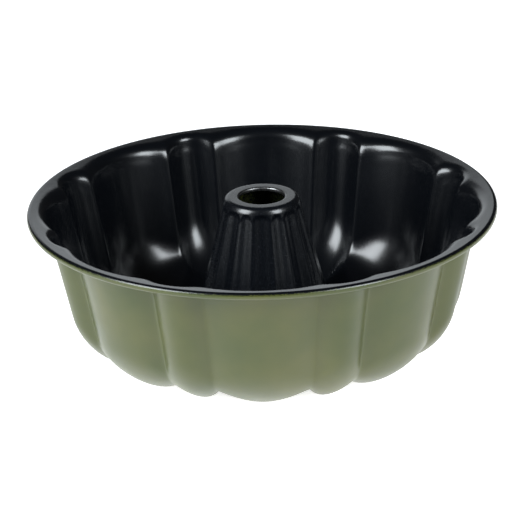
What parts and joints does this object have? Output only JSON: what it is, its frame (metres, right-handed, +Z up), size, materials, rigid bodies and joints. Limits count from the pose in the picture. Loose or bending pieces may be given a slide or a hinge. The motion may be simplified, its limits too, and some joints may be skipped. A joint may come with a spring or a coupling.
{
  "type": "bundt pan",
  "caption": "Fluted ring cake pan of coated pressed steel: round shell with flange and rolled rim, and a fluted hollow centre tube locked in by a folded seam.",
  "frame": {"origin": "centre of the plane that the pan rests on, on the tube's axis", "axes": "+Z up along the tube's axis, out of the open top; -Y through the middle of a wide flute, +X to its right"},
  "size_m": [0.2498, 0.2498, 0.0845],
  "materials": {
    "outer_coat": "satin sage green baked lacquer on steel",
    "nonstick": "satin black non-stick coating on steel",
    "wire_steel": "plain drawn steel wire"
  },
  "bodies": {
    "root": {"fluted_shell": "outer_coat", "centre_tube": "nonstick", "rim_wire": "wire_steel"}
  },
  "joints": []
}
